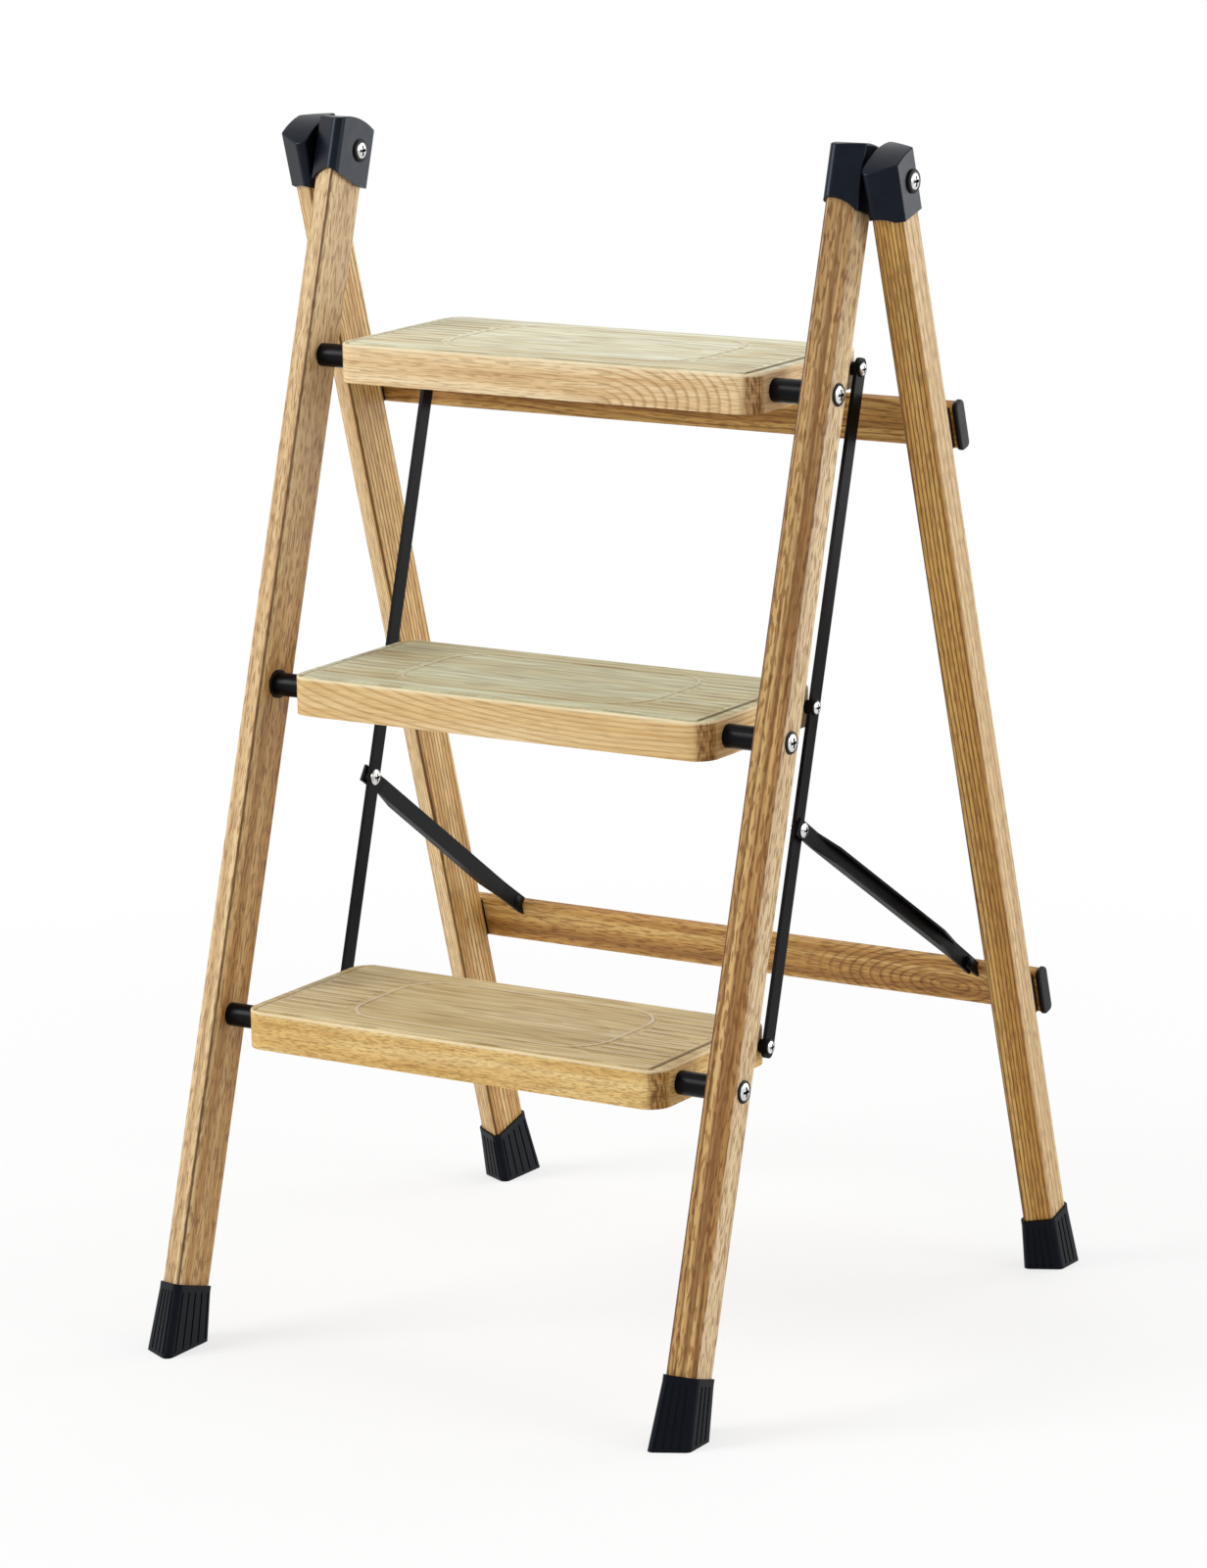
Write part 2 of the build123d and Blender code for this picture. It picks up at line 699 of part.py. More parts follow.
add_sides("front_stile", stile())
add_sides("front_cap", front_cap)
add_sides("front_foot", boot(stile_inner_x, stile_axis_y, stile_floor, stile_tube_end, stile_frame))
add_sides("rear_leg", leg())
add_sides("rear_cap", rear_cap)
add_sides("rear_foot", boot(leg_inner_x, leg_axis_y, leg_floor, leg_tube_end, leg_frame))
add_sides("hinge_barrel", hinge_barrel())
add_sides("hinge_screw", hinge_screw())
add_sides("hinge_washer", hinge_washer())

for rail_name, rail_drop in (("upper_rail", upper_rail_drop), ("lower_rail", lower_rail_drop)):
    nodes[rail_name] = [rail(rail_drop)]
    add_sides(rail_name + "_plug", rail_plug(rail_drop))
    add_pair(rail_name + "_saddles", [rail_saddle(rail_drop)])
    add_pair(rail_name + "_screws", rail_screws(rail_drop))

for level in step_levels:
    nodes["step_pan_" + level] = [step_pan(level)]
    add_pair("pivot_screws_" + level, [pivot_screw(level)])
    add_pair("pivot_spacers_" + level, [pivot_spacer(level)])
    add_pair("pivot_nuts_" + level, [pivot_nut(level)])
    add_pair("link_bosses_" + level, [link_boss(level)])
    add_pair("link_screws_" + level, [link_screw(level)])
add_pair("pivot_washers_middle", [pivot_washer("middle")])

add_sides("control_link", control_link())
add_sides("strut", strut())
add_sides("strut_screw", strut_screw())
add_sides("strut_nut", strut_nut())
add_sides("strut_bracket", strut_bracket())
add_pair("strut_pins", [strut_pin()])

# The origin goes under the middle of the whole ladder
boxes = [solid.bounding_box() for solids in nodes.values() for solid in solids]
front = min(box.min.Y for box in boxes)
back = max(box.max.Y for box in boxes)
to_origin = Pos(0, -(front + back) / 2, 0)

os.makedirs("parts", exist_ok=True)
for name, solids in nodes.items():
    group = Compound([to_origin * solid for solid in solids])
    export_step(group, f"parts/{name}.step")
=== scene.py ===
import json
from math import cos, pi, radians, sin

import bmesh
import bpy
from mathutils import Color, Matrix, Vector


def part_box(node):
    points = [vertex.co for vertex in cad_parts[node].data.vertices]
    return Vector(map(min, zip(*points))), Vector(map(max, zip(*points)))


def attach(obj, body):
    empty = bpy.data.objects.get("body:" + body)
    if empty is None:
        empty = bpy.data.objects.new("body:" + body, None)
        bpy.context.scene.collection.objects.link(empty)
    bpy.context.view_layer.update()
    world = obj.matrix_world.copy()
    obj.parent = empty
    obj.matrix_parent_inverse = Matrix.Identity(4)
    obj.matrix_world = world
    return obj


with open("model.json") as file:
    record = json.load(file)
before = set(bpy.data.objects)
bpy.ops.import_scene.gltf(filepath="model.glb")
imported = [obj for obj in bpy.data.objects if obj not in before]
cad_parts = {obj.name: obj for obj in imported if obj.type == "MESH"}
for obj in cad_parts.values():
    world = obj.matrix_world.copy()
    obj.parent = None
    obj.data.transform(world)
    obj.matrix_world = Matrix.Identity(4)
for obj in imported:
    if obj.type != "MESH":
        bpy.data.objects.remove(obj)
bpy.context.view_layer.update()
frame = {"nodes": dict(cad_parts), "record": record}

levels = ("bottom", "middle", "top")
sides = ("left", "right")

# Lean of the stiles and legs, in degrees, as the solids have it
stile_lean = 16.6
leg_lean = -15.6
quarter_turn = 90

# The tubes' front faces slope back from the deep inner side to the shallow outer side, in degrees
front_face_turn = 25.9
front_face_angle = radians(quarter_turn - front_face_turn)

# Directions in which some faces look
outer_right = (1.0, 0.0, 0.0)
front_left = (-cos(front_face_angle), -sin(front_face_angle), 0.0)
front_right_corner = (0.8, -0.6, 0.0)
downward = (0.0, 0.0, -1.0)

# How squarely a surface faces a direction, up to 1, where a tint starts and where it is full
# Painted light on the face of a stile or leg that looks towards the lamps
painted_side_light_turn = (0.80, 0.97)
arris_turn = (0.90, 0.97)
corner_turn = (0.82, 0.97)
underside_turn = (0.5, 0.9)

screen_white = 255


def srgb(red, green, blue):
    """Linear colour of an 8-bit screen colour."""
    screen = Color((red / screen_white, green / screen_white, blue / screen_white))
    return (*screen.from_srgb_to_scene_linear(), 1.0)


def four_tones(*tones):
    """Tones of one print, from the darkest streak to the palest."""
    return [srgb(*tone) for tone in tones]


# Printed oak of the stiles, legs and rails
brown_oak = four_tones((126, 82, 38), (196, 151, 90), (220, 182, 120), (234, 204, 152))
gold_oak = four_tones((136, 88, 32), (188, 140, 64), (210, 166, 88), (222, 186, 114))
honey_oak = four_tones((156, 108, 50), (208, 166, 98), (228, 192, 128), (240, 216, 166))
pale_oak = four_tones((142, 96, 44), (190, 146, 86), (210, 174, 118), (228, 202, 152))
rail_oak = four_tones((136, 88, 34), (196, 148, 76), (216, 174, 102), (230, 196, 132))

# Printed oak of the steps
gold_skirt = four_tones((186, 138, 68), (218, 180, 108), (226, 190, 120), (234, 204, 142))
tan_skirt = four_tones((188, 144, 86), (222, 188, 130), (228, 198, 144), (236, 212, 166))
beige_skirt = four_tones((194, 152, 100), (228, 198, 150), (234, 208, 164), (242, 222, 184))
warm_tread = four_tones((188, 164, 110), (206, 184, 132), (212, 192, 142), (222, 206, 164))
green_tread = four_tones((188, 170, 118), (206, 202, 162), (211, 213, 180), (220, 224, 198))
pale_tread = four_tones((206, 190, 144), (222, 219, 188), (227, 229, 204), (236, 239, 220))

# Single tones
white = (1.0, 1.0, 1.0, 1.0)
# Pale beige of the painted light on stiles and legs
painted_light_beige = srgb(226, 204, 166)
arris_brown = srgb(78, 44, 16)
# Painted shade in the groove along a tread's rolled rims
groove_painted_shade = srgb(104, 84, 52)
# Painted highlight on the crests of a tread's pressed ridges
crest_painted_highlight = srgb(238, 230, 204)
# Painted highlight along the upper edge of a skirt
edge_painted_highlight = srgb(240, 224, 186)
cool_white = srgb(214, 228, 255)
zinc_grey = srgb(184, 186, 190)
zinc_bright = srgb(232, 232, 230)
# Painted shade of a screw head's cross recess
recess_painted_shade = srgb(26, 25, 25)
floor_grey = srgb(244, 244, 244)

# Tints that darken the print, as shares of its red, green and blue
fibre_shade = (0.66, 0.55, 0.42, 1.0)
pore_shade = (0.44, 0.32, 0.20, 1.0)
# Painted shade on a skirt's right front corner, and the darker grain marks in it
corner_grain_and_shade = (0.30, 0.20, 0.11, 1.0)
corner_painted_shade = (0.70, 0.58, 0.45, 1.0)
underside_tan = (0.86, 0.74, 0.58, 1.0)
# Painted shade on the flanks of a tread's pressed ridges
flank_painted_shade = (0.76, 0.69, 0.60, 1.0)

# Limits for rings that run over a whole piece: a count that none reaches, and a start before every piece
no_end = (1000.0, 900.0)
both_sides = (-10.0, -9.0)

# Print of the stiles and legs. Streaks, fibres and pores are in marks per metre along and across the
# fibres, and a share says how strongly each shows. Growth rings lie round a knot, placed in metres:
# knot_rings counts them per metre, a noise of rings bends them by some turns, knot_reach is the count
# at which they fade, and ring_start the way past the knot, in metres, on which they set in
lined_grain = {
    "streaks": (1.2, 110, 110),
    "rings": (1.5, 26, 26),
    "turns": 5.0,
    "knot": (0.0, 0.0, 0.0),
    "knot_rings": (0.0, 360, 360),
    "knot_reach": no_end,
    "ring_start": both_sides,
    "ring_share": 1.0,
    "fibres": (7, 420, 420),
    "fibre_share": 0.4,
    "pores": (90, 900, 900),
    "pore_share": 0.5,
}
fine_lined_grain = {
    **lined_grain,
    "knot_rings": (0.0, 560, 560),
    "ring_share": 0.75,
    "pores": (110, 760, 760),
    "pore_share": 0.8,
}
flecked_grain = {
    **lined_grain,
    "ring_share": 0.25,
    "pores": (110, 760, 760),
    "pore_share": 0.75,
}

# Print of the rails
rail_grain = {
    **lined_grain,
    "streaks": (2.2, 90, 90),
    "rings": (4.0, 20, 20),
    "turns": 8.0,
    "knot": (0.15, 0.26, 0.222),
    "knot_rings": (22, 0, 190),
    "ring_share": 0.6,
    "pore_share": 0.6,
}
arched_rail_grain = {
    **rail_grain,
    "turns": 2.5,
    "knot": (0.175, 0.26, 0.214),
    "knot_rings": (110, 0, 320),
    "knot_reach": (16.0, 8.0),
    "ring_share": 0.65,
    "fibre_share": 0.6,
    "pore_share": 0.7,
}

# Print of the steps' treads
tread_grain = {
    "streaks": (2.0, 36, 1),
    "rings": (6, 26, 1),
    "turns": 3.0,
    "knot_rings": (14, 90, 0),
    "knot_reach": no_end,
    "ring_start": both_sides,
    "ring_share": 0.45,
    "fibres": (9, 260, 1),
    "fibre_share": 0.5,
    "pores": (26, 420, 1),
    "pore_share": 0.4,
}

# Print of the steps' skirts; a skirt's knot is placed from the middle of its front, across and up
skirt_grain = {
    "streaks": (5, 5, 110),
    "rings": (6, 6, 26),
    "turns": 3.0,
    "knot_reach": no_end,
    "ring_start": both_sides,
    "fibres": (20, 20, 700),
    "fibre_share": 0.5,
    "pores": (70, 70, 1100),
}
speckled_skirt = {
    **skirt_grain,
    "knot": (0.3, -0.05),
    "knot_rings": (14, 3, 170),
    "ring_share": 0.1,
    "fibres": (45, 45, 900),
    "pores": (190, 190, 1500),
    "pore_share": 0.5,
}
flamed_skirt = {
    **skirt_grain,
    "turns": 1.6,
    "knot": (0.1, 0.05),
    "knot_rings": (60, 3, 260),
    "ring_share": 0.6,
    "fibre_share": 0.3,
    "pore_share": 0.2,
}
arched_skirt = {
    **skirt_grain,
    "knot": (0.04, -0.018),
    "knot_rings": (110, 3, 230),
    "knot_reach": (17.0, 12.0),
    "ring_start": (-0.01, 0.02),
    "ring_share": 0.75,
    "pore_share": 0.4,
}

# Places of the colour sockets among the inputs and outputs of a Mix node
mix_first_colour = 6
mix_second_colour = 7
mix_colour = 2

# Where a new stop enters a colour ramp before it gets its own place
ramp_middle = 0.5


class FinishNodes:
    """Node tree of one finish of the ladder, with short names for the nodes it is built from."""

    def __init__(self, name):
        self.material = bpy.data.materials.new(name)
        self.material.use_nodes = True
        self.tree = self.material.node_tree
        self.shader = self.tree.nodes["Principled BSDF"]
        source = self.add("ShaderNodeTexCoord")
        self.coordinates = source.outputs["Object"]
        self.facing = source.outputs["Normal"]

    def add(self, kind, **settings):
        """New node with its settings."""
        node = self.tree.nodes.new(kind)
        for key, value in settings.items():
            setattr(node, key, value)
        return node

    def feed(self, value, socket):
        """Link an output to a socket, or set a plain number or colour on it."""
        if isinstance(value, (int, float, tuple)):
            socket.default_value = value
        else:
            self.tree.links.new(value, socket)

    def coat(self, sockets):
        """Feed the shader's own sockets, by name."""
        for name, value in sockets.items():
            self.feed(value, self.shader.inputs[name])

    def place(self, vector, rotation=(0, 0, 0), scale=(1, 1, 1), location=(0, 0, 0)):
        """Turn, scale and move a vector; angles in degrees."""
        node = self.add("ShaderNodeMapping")
        node.inputs["Rotation"].default_value = [radians(angle) for angle in rotation]
        node.inputs["Scale"].default_value = scale
        node.inputs["Location"].default_value = location
        self.feed(vector, node.inputs["Vector"])
        return node.outputs["Vector"]

    def noise(self, vector, detail):
        """Noise of about one mark per unit."""
        node = self.add("ShaderNodeTexNoise")
        self.feed(vector, node.inputs["Vector"])
        node.inputs["Scale"].default_value = 1.0
        node.inputs["Detail"].default_value = detail
        return node.outputs["Fac"]

    def ramp(self, value, positions, colours):
        """Colour that runs through several tones as a value rises."""
        node = self.add("ShaderNodeValToRGB")
        self.feed(value, node.inputs["Fac"])
        elements = node.color_ramp.elements
        while len(elements) < len(positions):
            elements.new(ramp_middle)
        for element, position, colour in zip(elements, positions, colours):
            element.position = position
            element.color = colour
        return node.outputs["Color"]

    def mix(self, factor, one, two, blend="MIX"):
        """One colour with a share of another laid over it."""
        node = self.add("ShaderNodeMix", data_type="RGBA", blend_type=blend)
        self.feed(factor, node.inputs["Factor"])
        self.feed(one, node.inputs[mix_first_colour])
        self.feed(two, node.inputs[mix_second_colour])
        return node.outputs[mix_colour]

    def math(self, operation, *values):
        """Result of one operation on numbers."""
        node = self.add("ShaderNodeMath", operation=operation)
        for socket, value in zip(node.inputs, values):
            self.feed(value, socket)
        return node.outputs["Value"]

    def product(self, first, *others):
        """Several values multiplied."""
        for other in others:
            first = self.math("MULTIPLY", first, other)
        return first

    def band(self, value, low, high):
        """Rises smoothly from 0 to 1 between two values."""
        node = self.add("ShaderNodeMapRange", interpolation_type="SMOOTHSTEP")
        self.feed(value, node.inputs["Value"])
        node.inputs["From Min"].default_value = low
        node.inputs["From Max"].default_value = high
        return node.outputs["Result"]

    def axis(self, vector, name):
        """One coordinate of a vector."""
        node = self.add("ShaderNodeSeparateXYZ")
        self.feed(vector, node.inputs["Vector"])
        return node.outputs[name]

    def length(self, vector):
        """Length of a vector."""
        node = self.add("ShaderNodeVectorMath", operation="LENGTH")
        self.feed(vector, node.inputs[0])
        return node.outputs["Value"]

    def towards(self, direction):
        """How far the surface faces a direction of the piece, from -1 to 1."""
        node = self.add("ShaderNodeVectorMath", operation="DOT_PRODUCT")
        self.feed(self.facing, node.inputs[0])
        node.inputs[1].default_value = direction
        return node.outputs["Value"]

    def bump(self, height, strength, distance):
        """Fine relief on the surface."""
        node = self.add("ShaderNodeBump")
        node.inputs["Strength"].default_value = strength
        node.inputs["Distance"].default_value = distance
        self.feed(height, node.inputs["Height"])
        self.coat({"Normal": node.outputs["Normal"]})


# Noise of the print, without and with a finer wave on it
plain_noise = 0.0
finer_noise = 1.0

# Late wood within one growth ring, as shares of the ring: where it darkens and where it ends
ring_darkens = (0.5, 0.82)
ring_ends = (1.0, 0.92)

# Levels of the noise at which the four tones stand, and between which fibres and pores fade out
tone_stops = (0.16, 0.40, 0.56, 0.76)
fibre_stops = (0.34, 0.54)
pore_stops = (0.39, 0.46)

# Relief of the print: fibres stand up and rings sink in
fibre_relief = 0.6
ring_relief = -0.4


def stretched(nodes, vector, scale, seed, detail=plain_noise):
    """Noise drawn out along the fibres; each seed gives another piece of the print."""
    return nodes.noise(nodes.place(vector, scale=scale, location=(seed, 2 * seed, 3 * seed)), detail)


def ring_lines(nodes, vector, grain, seed):
    """Thin growth rings round a knot, bent by a stretched noise: 1 on a ring's late wood, 0 between."""
    bend = nodes.product(stretched(nodes, vector, grain["rings"], seed, finer_noise), grain["turns"])
    away = [-place * scale for place, scale in zip(grain["knot"], grain["knot_rings"])]
    count = nodes.length(nodes.place(vector, scale=grain["knot_rings"], location=away))
    phase = nodes.math("FRACT", nodes.math("ADD", bend, count))
    past_knot = nodes.math("SUBTRACT", nodes.axis(vector, "X"), grain["knot"][0])
    return nodes.product(
        nodes.band(phase, *ring_darkens),
        nodes.band(phase, *ring_ends),
        nodes.band(count, *grain["knot_reach"]),
        nodes.band(past_knot, *grain["ring_start"]),
    )


def printed_grain(nodes, vector, tones, seed, grain, painted_light_share=None):
    """Printed oak: streaks in four tones, growth rings, fibres and pores, and, where a share is given, a
    pale beige laid over it as painted light; gives colour and relief.
    """
    streaks = stretched(nodes, vector, grain["streaks"], seed, finer_noise)
    rings = ring_lines(nodes, vector, grain, seed)
    fibres = stretched(nodes, vector, grain["fibres"], seed + 1, finer_noise)
    pores = stretched(nodes, vector, grain["pores"], seed + 2)
    colour = nodes.ramp(streaks, tone_stops, tones)
    colour = nodes.mix(nodes.product(rings, grain["ring_share"]), colour, tones[0])
    # Painted light: pale beige laid over the print
    if painted_light_share is not None:
        colour = nodes.mix(painted_light_share, colour, painted_light_beige)
    fibre_tint = nodes.ramp(fibres, fibre_stops, (fibre_shade, white))
    colour = nodes.mix(grain["fibre_share"], colour, fibre_tint, "MULTIPLY")
    pore_tint = nodes.ramp(pores, pore_stops, (pore_shade, white))
    colour = nodes.mix(grain["pore_share"], colour, pore_tint, "MULTIPLY")
    relief = nodes.math("ADD", nodes.product(fibres, fibre_relief), nodes.product(rings, ring_relief))
    return colour, relief


# Lacquer on the print: roughness and its change with the relief, mirror level, and the bump's strength
# and depth in metres
tube_lacquer = {"roughness": 0.5, "relief": -0.2, "specular": 0.35, "bump": 0.25, "depth": 0.0003}
step_lacquer = {"roughness": 0.5, "relief": -0.1, "specular": 0.3, "bump": 0.35, "depth": 0.0004}


def lacquered(nodes, colour, relief, height, lacquer):
    """Finished skin: print under a lacquer that is smoother where the relief stands up."""
    nodes.coat({
        "Base Color": colour,
        "Roughness": nodes.math("MULTIPLY_ADD", relief, lacquer["relief"], lacquer["roughness"]),
        "Specular IOR Level": lacquer["specular"],
    })
    nodes.bump(height, lacquer["bump"], lacquer["depth"])
    return nodes.material


# Dark heart streak on a stile's front face: edges across the ladder, in metres, and breaks along it
heart_inner = (0.2125, 0.2165)
heart_outer = (0.2235, 0.2205)
heart_marks = (5, 300, 300)
heart_breaks = (0.3, 0.6)

# Heights between which a stile's print turns paler with painted light, in metres
painted_top_light_heights = (0.45, 0.80)

# How strongly the dark line shows on the front arris
arris_share = 0.8


def member_skin(name, lean, tones, seed, grain, painted_light_facing, painted_light_share, heart_share, painted_top_light_share):
    """Wood-grain skin of a stile or leg: one face and a stile's upper part painted paler as light, a dark
    heart streak and a dark front arris.
    """
    nodes = FinishNodes(name)
    along = nodes.place(nodes.coordinates, rotation=(lean, quarter_turn, 0))
    # Painted light: the face that looks towards the lamps, and the upper part of a stile, turn paler
    painted_side_light = nodes.product(nodes.band(nodes.towards(painted_light_facing), *painted_side_light_turn), painted_light_share)
    height = nodes.axis(nodes.coordinates, "Z")
    # Painted light on the upper part of a stile
    painted_top_light = nodes.product(nodes.band(height, *painted_top_light_heights), painted_top_light_share)
    painted_light = nodes.math("MAXIMUM", painted_side_light, painted_top_light)
    colour, relief = printed_grain(nodes, along, tones, seed, grain, painted_light)

    across = nodes.math("ABSOLUTE", nodes.axis(nodes.coordinates, "X"))
    heart = nodes.product(
        nodes.band(across, *heart_inner),
        nodes.band(across, *heart_outer),
        nodes.band(stretched(nodes, along, heart_marks, seed), *heart_breaks),
        heart_share,
    )
    colour = nodes.mix(heart, colour, tones[0])

    inward = 1 if name.endswith("left") else -1
    half_angle = front_face_angle / 2
    tilt = radians(lean)
    arris = (inward * sin(half_angle), -cos(half_angle) * cos(tilt), cos(half_angle) * sin(tilt))
    dark_line = nodes.product(nodes.band(nodes.towards(arris), *arris_turn), arris_share)
    colour = nodes.mix(dark_line, colour, arris_brown)
    return lacquered(nodes, colour, relief, relief, tube_lacquer)


def rail_skin(name, grain, seed):
    """Wood-grain skin of a rear rail, with fibres along it."""
    nodes = FinishNodes(name)
    colour, relief = printed_grain(nodes, nodes.coordinates, rail_oak, seed, grain)
    return lacquered(nodes, colour, relief, relief, tube_lacquer)


# Pressed pattern of a tread, in metres: an oval ridge in the middle and ribs from there to both rims
oval_half_x = 0.107
oval_half_y = 0.056
oval_corner = 0.034
oval_corner_facets = 12
rib_pitch = 0.0098
ribs_each_side = 5
rib_gap = 0.004
ridge_width = 0.0044
ridge_flank = 0.0016
ridge_height = 0.0008
ridge_sunk = 0.0002

# Painted shade on a ridge's flanks and painted highlight on its crest: foot, flank and crest as shares of
# its height, and how strongly the crest highlight shows
ridge_bands = (0.05, 0.3, 0.95)
crest_highlight_share = 0.5

# Rolled rim at both ends of a tread, and its groove, in metres; how strongly the painted shade in the
# groove shows
rim_width = 0.0086
groove_width = 0.0022
groove_shade_share = 0.85

# Upper edge of a skirt, in metres: how far the tread's panel rises above it, and its rounding.
# Its painted highlight line and the tread's print start and end at shares of that rounding below the edge
panel_rise = 0.0008
edge_round = 0.0018
edge_highlight_band = (1.6, 0.8)
tread_start = 0.4
edge_highlight_share = 0.65

# Grain marks in the painted shade on a skirt's right front corner, per metre, and the levels of noise at
# which they are darkest and at which only the painted shade is left
corner_marks = (600, 600, 160)
corner_stops = (0.34, 0.62)

# Share of a skirt's relief in the bump of its step
skirt_relief_share = 0.4


def shaded_corner(nodes, skirt, seed):
    """Skirt with painted shade on its right front corner, which turns from the light, and dark upright
    grain marks in it.
    """
    marks = stretched(nodes, nodes.coordinates, corner_marks, seed)
    tint = nodes.ramp(marks, corner_stops, (corner_grain_and_shade, corner_painted_shade))
    return nodes.mix(nodes.band(nodes.towards(front_right_corner), *corner_turn), skirt, tint, "MULTIPLY")


def rim_groove(nodes, step_end):
    """1 in the groove along the rolled rims at both ends of a tread, 0 elsewhere."""
    across = nodes.math("ABSOLUTE", nodes.axis(nodes.coordinates, "X"))
    groove = step_end - rim_width
    return nodes.product(
        nodes.band(across, groove - groove_width, groove),
        nodes.band(across, groove + groove_width, groove),
    )


def ridge_painted_light(nodes, tread, height, panel_top):
    """Tread whose pressed ridges have painted shade on their flanks and a painted highlight on their
    crests.
    """
    foot, flank, crest = [panel_top + share * ridge_height for share in ridge_bands]
    tread = nodes.mix(nodes.band(height, foot, flank), tread, flank_painted_shade, "MULTIPLY")
    crest_highlight = nodes.product(nodes.band(height, flank, crest), crest_highlight_share)
    return nodes.mix(crest_highlight, tread, crest_painted_highlight)


def step_skin(name, skirt_tones, tread_tones, skirt_print, seed):
    """Wood-grain skin of a step: skirt, painted highlight line at its upper edge, and tread with rims and
    ridges.
    """
    nodes = FinishNodes(name)
    height = nodes.axis(nodes.coordinates, "Z")
    low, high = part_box(name)
    middle_y = (low[1] + high[1]) / 2
    middle_z = (low[2] + high[2]) / 2
    edge = high[2] - panel_rise

    across, up = skirt_print["knot"]
    skirt_set = {**skirt_print, "knot": (across, low[1], middle_z + up)}
    skirt, skirt_relief = printed_grain(nodes, nodes.coordinates, skirt_tones, seed, skirt_set)
    skirt = shaded_corner(nodes, skirt, seed)
    tread_set = {**tread_grain, "knot": (0.0, middle_y, 0.0)}
    tread, tread_relief = printed_grain(nodes, nodes.coordinates, tread_tones, seed, tread_set)

    below = nodes.band(nodes.towards(downward), *underside_turn)
    skirt = nodes.mix(below, skirt, nodes.mix(1.0, tread, underside_tan, "MULTIPLY"))
    skirt_relief = nodes.product(skirt_relief, nodes.math("SUBTRACT", 1.0, below))

    groove = rim_groove(nodes, high[0])
    # Painted shade in the groove along the rims
    tread = nodes.mix(nodes.product(groove, groove_shade_share), tread, groove_painted_shade)
    # Painted shade and highlight on the pressed ridges
    tread = ridge_painted_light(nodes, tread, height, high[2])

    # Painted highlight along the skirt's upper edge
    edge_highlight = nodes.band(height, *[edge - share * edge_round for share in edge_highlight_band])
    on_top = nodes.band(height, edge - tread_start * edge_round, edge)
    colour = nodes.mix(nodes.product(edge_highlight, edge_highlight_share), skirt, edge_painted_highlight)
    colour = nodes.mix(on_top, colour, tread)
    pressed = nodes.product(nodes.math("SUBTRACT", tread_relief, groove), on_top)
    bumps = nodes.math("MULTIPLY_ADD", skirt_relief, skirt_relief_share, pressed)
    return lacquered(nodes, colour, tread_relief, bumps, step_lacquer)


# Clouding of the black plastics: clouds per metre, their noise, and how much paler and rougher they are
plastic_clouds = 90
cloud_detail = 3.0
cloud_stops = (0.35, 0.7)
cloud_paler = 1.7
cloud_rougher = 0.16

# Leathery grain of moulded faces: marks per metre, their noise and their depth in metres
leather_marks = 700
leather_detail = 1.0
leather_depth = 0.0002

# Clouding of the zinc: clouds per metre, the levels of noise where it is grey and bright, and roughness
zinc_clouds = 420
zinc_stops = (0.3, 0.6)
zinc_roughness = 0.14
zinc_rougher = 0.2

# Painted shade of a screw head's cross recess, as shares of the head's diameter: half length, half width
# and soft edge
recess_length = 0.25
recess_width = 0.06
recess_soft = 0.02


def clouds(nodes, marks, detail):
    """Noise with the same number of marks per metre in every direction."""
    return nodes.noise(nodes.place(nodes.coordinates, scale=(marks, marks, marks)), detail)


def moulded(name, tone, roughness, specular, leather=0.0, sheen=white):
    """Black plastic, rubber or paint with an uneven gloss and, on some pieces, a fine leathery grain."""
    nodes = FinishNodes(name)
    cloud = clouds(nodes, plastic_clouds, cloud_detail)
    red, green, blue, alpha = tone
    paler = (cloud_paler * red, cloud_paler * green, cloud_paler * blue, alpha)
    nodes.coat({
        "Base Color": nodes.mix(nodes.band(cloud, *cloud_stops), tone, paler),
        "Roughness": nodes.math("MULTIPLY_ADD", cloud, cloud_rougher, roughness - cloud_rougher / 2),
        "Specular IOR Level": specular,
        "Specular Tint": sheen,
    })
    if leather:
        nodes.bump(clouds(nodes, leather_marks, leather_detail), leather, leather_depth)
    return nodes.material


def recess_bar(nodes, along, across, diameter):
    """1 inside one bar of a cross recess, 0 outside it."""
    length = nodes.band(along, (recess_length + recess_soft) * diameter, recess_length * diameter)
    width = nodes.band(across, (recess_width + recess_soft) * diameter, recess_width * diameter)
    return nodes.product(length, width)


def cross_recess(nodes, centre, diameter):
    """1 inside the cross recess of a head that looks along X, 0 outside it."""
    away = []
    for name, middle in zip("YZ", centre):
        offset = nodes.math("SUBTRACT", nodes.axis(nodes.coordinates, name), middle)
        away.append(nodes.math("ABSOLUTE", offset))
    y, z = away
    return nodes.math("MAXIMUM", recess_bar(nodes, y, z, diameter), recess_bar(nodes, z, y, diameter))


def bright_zinc(name, centre=None, diameter=None):
    """Bright plated metal with fine clouding, with the shade of a screw's cross recess painted on."""
    nodes = FinishNodes(name)
    cloud = clouds(nodes, zinc_clouds, cloud_detail)
    tone = nodes.ramp(cloud, zinc_stops, (zinc_grey, zinc_bright))
    if centre:
        # Painted shade in the cross recess
        tone = nodes.mix(cross_recess(nodes, centre, diameter), tone, recess_painted_shade)
    nodes.coat({
        "Base Color": tone,
        "Metallic": 1.0,
        "Roughness": nodes.math("MULTIPLY_ADD", cloud, zinc_rougher, zinc_roughness),
    })
    return nodes.material


def screw_zinc(name):
    """Zinc for a screw, or a pair of them, that lies along X."""
    low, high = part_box(name)
    centre = ((low[1] + high[1]) / 2, (low[2] + high[2]) / 2)
    return bright_zinc(name, centre, high[2] - low[2])


